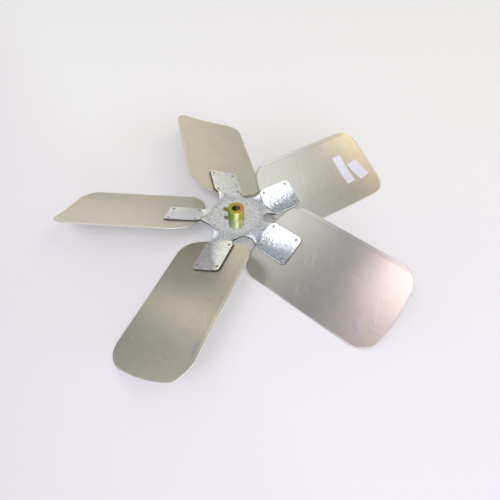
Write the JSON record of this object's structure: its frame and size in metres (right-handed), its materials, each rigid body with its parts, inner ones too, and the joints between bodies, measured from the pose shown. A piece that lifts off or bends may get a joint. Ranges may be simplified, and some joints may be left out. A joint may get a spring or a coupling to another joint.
{
  "type": "propeller fan rotor",
  "caption": "Propeller fan rotor: a star-shaped spider on a keyed, bored hub carries pitched, cambered sheet-metal blades, each riveted beneath its arm.",
  "frame": {"origin": "on the shaft axis, at the height of the rotor's centre of volume, 2.2 mm below the upper face of the spider's flat plate", "axes": "+Z along the shaft axis from the plate to the hub's free end; +X along the arm of blade_1; the blades are numbered counter-clockwise seen from +Z"},
  "size_m": [0.6714, 0.699, 0.0675],
  "materials": {
    "spider": "hot-dip galvanised sheet steel with a soft spangle",
    "blade": "mill-finish aluminium sheet, soft satin with light handling scuffs",
    "hub": "turned steel, zinc plated and yellow chromated",
    "set_screw": "zinc-plated steel",
    "rivet": "bare aluminium rivet heads"
  },
  "bodies": {
    "root": {"spider": "spider", "hub": "hub", "set_screw": "set_screw", "blade_1": "blade", "blade_2": "blade", "blade_3": "blade", "blade_4": "blade", "blade_5": "blade", "rivet_1_1": "rivet", "rivet_1_2": "rivet", "rivet_1_3": "rivet", "rivet_1_4": "rivet", "rivet_2_1": "rivet", "rivet_2_2": "rivet", "rivet_2_3": "rivet", "rivet_2_4": "rivet", "rivet_3_1": "rivet", "rivet_3_2": "rivet", "rivet_3_3": "rivet", "rivet_3_4": "rivet", "rivet_4_1": "rivet", "rivet_4_2": "rivet", "rivet_4_3": "rivet", "rivet_4_4": "rivet", "rivet_5_1": "rivet", "rivet_5_2": "rivet", "rivet_5_3": "rivet", "rivet_5_4": "rivet"}
  },
  "joints": []
}
